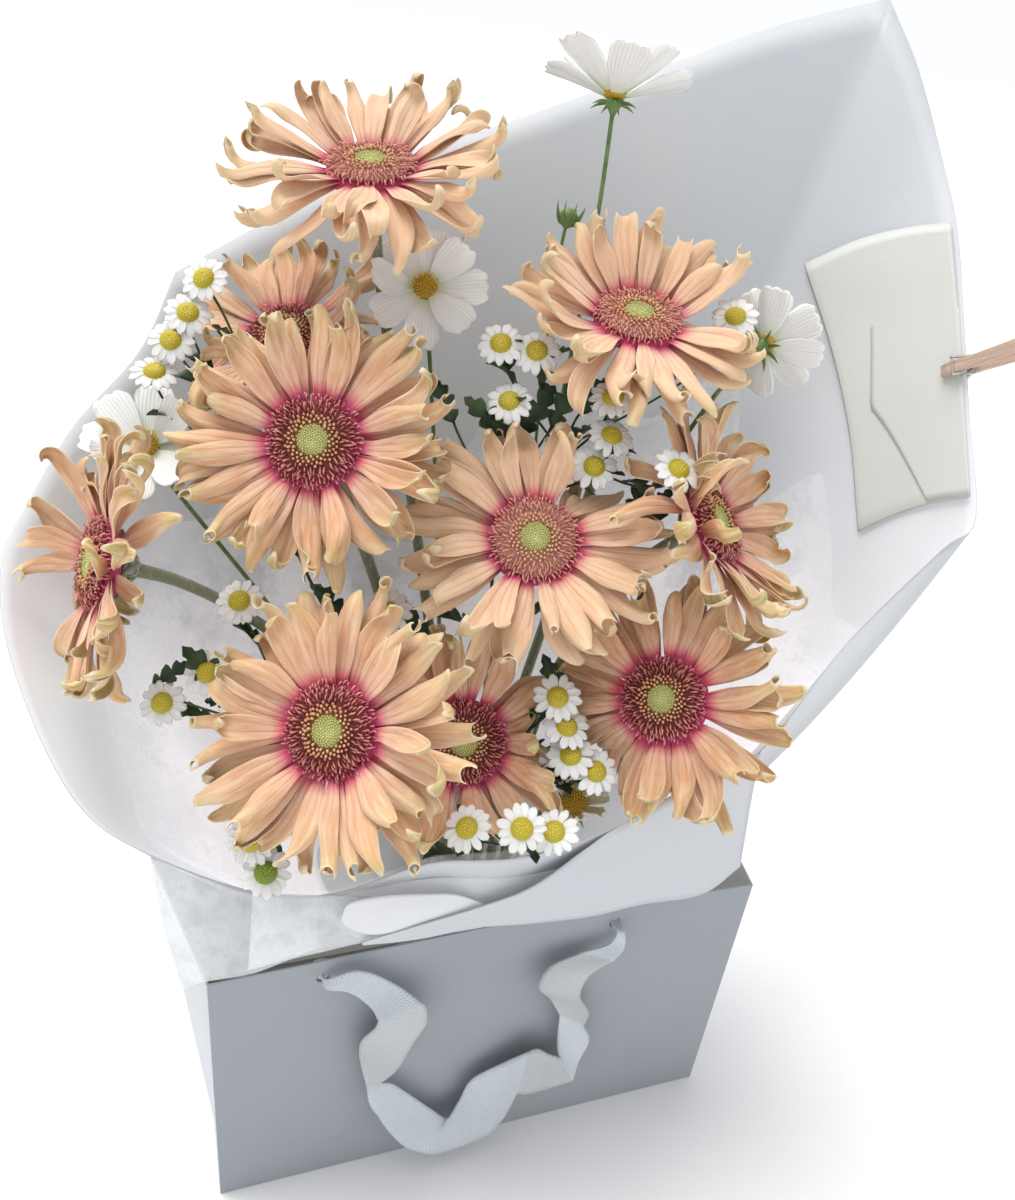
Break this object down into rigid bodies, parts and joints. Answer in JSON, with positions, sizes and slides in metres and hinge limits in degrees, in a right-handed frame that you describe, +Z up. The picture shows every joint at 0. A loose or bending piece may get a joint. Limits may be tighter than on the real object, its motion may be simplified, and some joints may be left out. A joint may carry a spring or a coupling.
{
  "type": "gerbera bouquet in a paper carrier bag",
  "caption": "Bouquet of peach spider gerberas, white cosmos and feverfew in a paper wrap with a pinned envelope, standing in a white paper carrier bag.",
  "frame": {"origin": "centre of the carrier bag's base, on the surface it stands on", "axes": "+Z up, -Y out of the bag's front panel, +X to the right seen from the front"},
  "size_m": [0.4663, 0.3026, 0.5791],
  "materials": {
    "bag_paper": "white kraft paper seen in soft shade, matt, folded edges",
    "grey_board": "matt grey board",
    "handle_tape": "white woven herringbone cotton tape, matt",
    "wrap_paper": "white satin wrapping paper, soft long bends",
    "tissue": "thin white tissue, lets light through, finely creased",
    "tie_ribbon": "white flat ribbon, matt",
    "envelope_paper": "cream-white stiff laid paper",
    "pin_wood": "pale birch, sanded, unvarnished",
    "pin_wire": "drawn steel wire",
    "gerbera_petal": "soft peach petals, cream edges, yellow-green curled tips",
    "gerbera_disc": "dense florets, burgundy round a pale green middle",
    "gerbera_stem": "grey-green, finely downy, matt",
    "cosmos_petal": "thin white ribbed petals",
    "cosmos_green": "thin green stems and sepals",
    "feverfew": "green twigs and leaves, white ligules round yellow domes"
  },
  "bodies": {
    "root": {"carrier_bag": "bag_paper", "base_card": "grey_board", "handle_front": "handle_tape", "handle_back": "handle_tape", "wrap_paper": "wrap_paper", "wrap_flap": "wrap_paper", "tissue_liner": "tissue", "tissue_tails": "tissue", "tie_band": "tie_ribbon", "envelope": "envelope_paper", "pin_leg_back": "pin_wood", "pin_spring": "pin_wire", "gerbera_1_petals": "gerbera_petal", "gerbera_1_disc": "gerbera_disc", "gerbera_1_stem": "gerbera_stem", "gerbera_2_petals": "gerbera_petal", "gerbera_2_disc": "gerbera_disc", "gerbera_2_stem": "gerbera_stem", "gerbera_3_petals": "gerbera_petal", "gerbera_3_disc": "gerbera_disc", "gerbera_3_stem": "gerbera_stem", "gerbera_4_petals": "gerbera_petal", "gerbera_4_disc": "gerbera_disc", "gerbera_4_stem": "gerbera_stem", "gerbera_5_petals": "gerbera_petal", "gerbera_5_disc": "gerbera_disc", "gerbera_5_stem": "gerbera_stem", "gerbera_6_petals": "gerbera_petal", "gerbera_6_disc": "gerbera_disc", "gerbera_6_stem": "gerbera_stem", "gerbera_7_petals": "gerbera_petal", "gerbera_7_disc": "gerbera_disc", "gerbera_7_stem": "gerbera_stem", "gerbera_8_petals": "gerbera_petal", "gerbera_8_disc": "gerbera_disc", "gerbera_8_stem": "gerbera_stem", "gerbera_9_petals": "gerbera_petal", "gerbera_9_disc": "gerbera_disc", "gerbera_9_stem": "gerbera_stem", "gerbera_10_petals": "gerbera_petal", "gerbera_10_disc": "gerbera_disc", "gerbera_10_stem": "gerbera_stem", "cosmos_1_bloom": "cosmos_petal", "cosmos_1_stem": "cosmos_green", "cosmos_2_bloom": "cosmos_petal", "cosmos_2_stem": "cosmos_green", "cosmos_3_bloom": "cosmos_petal", "cosmos_3_stem": "cosmos_green", "cosmos_4_bloom": "cosmos_petal", "cosmos_4_stem": "cosmos_green", "cosmos_5_bloom": "cosmos_petal", "cosmos_5_stem": "cosmos_green", "feverfew_spray_1": "feverfew", "feverfew_spray_2": "feverfew", "feverfew_spray_3": "feverfew", "feverfew_spray_4": "feverfew", "feverfew_spray_5": "feverfew", "feverfew_spray_6": "feverfew"},
    "pin_jaw": {"pin_leg_front": "pin_wood", "pin_spring_arm": "pin_wire"}
  },
  "joints": [
    {"name": "pin_hinge", "type": "hinge", "parent": "root", "child": "pin_jaw", "pos_m": [0.23679, 0.0044, 0.42726], "axis": [0.1517, 0.6404, 0.7529], "range_deg": [0, 12], "stiffness_Nm_per_rad": 0.005, "springref_deg": -17.19}
  ]
}
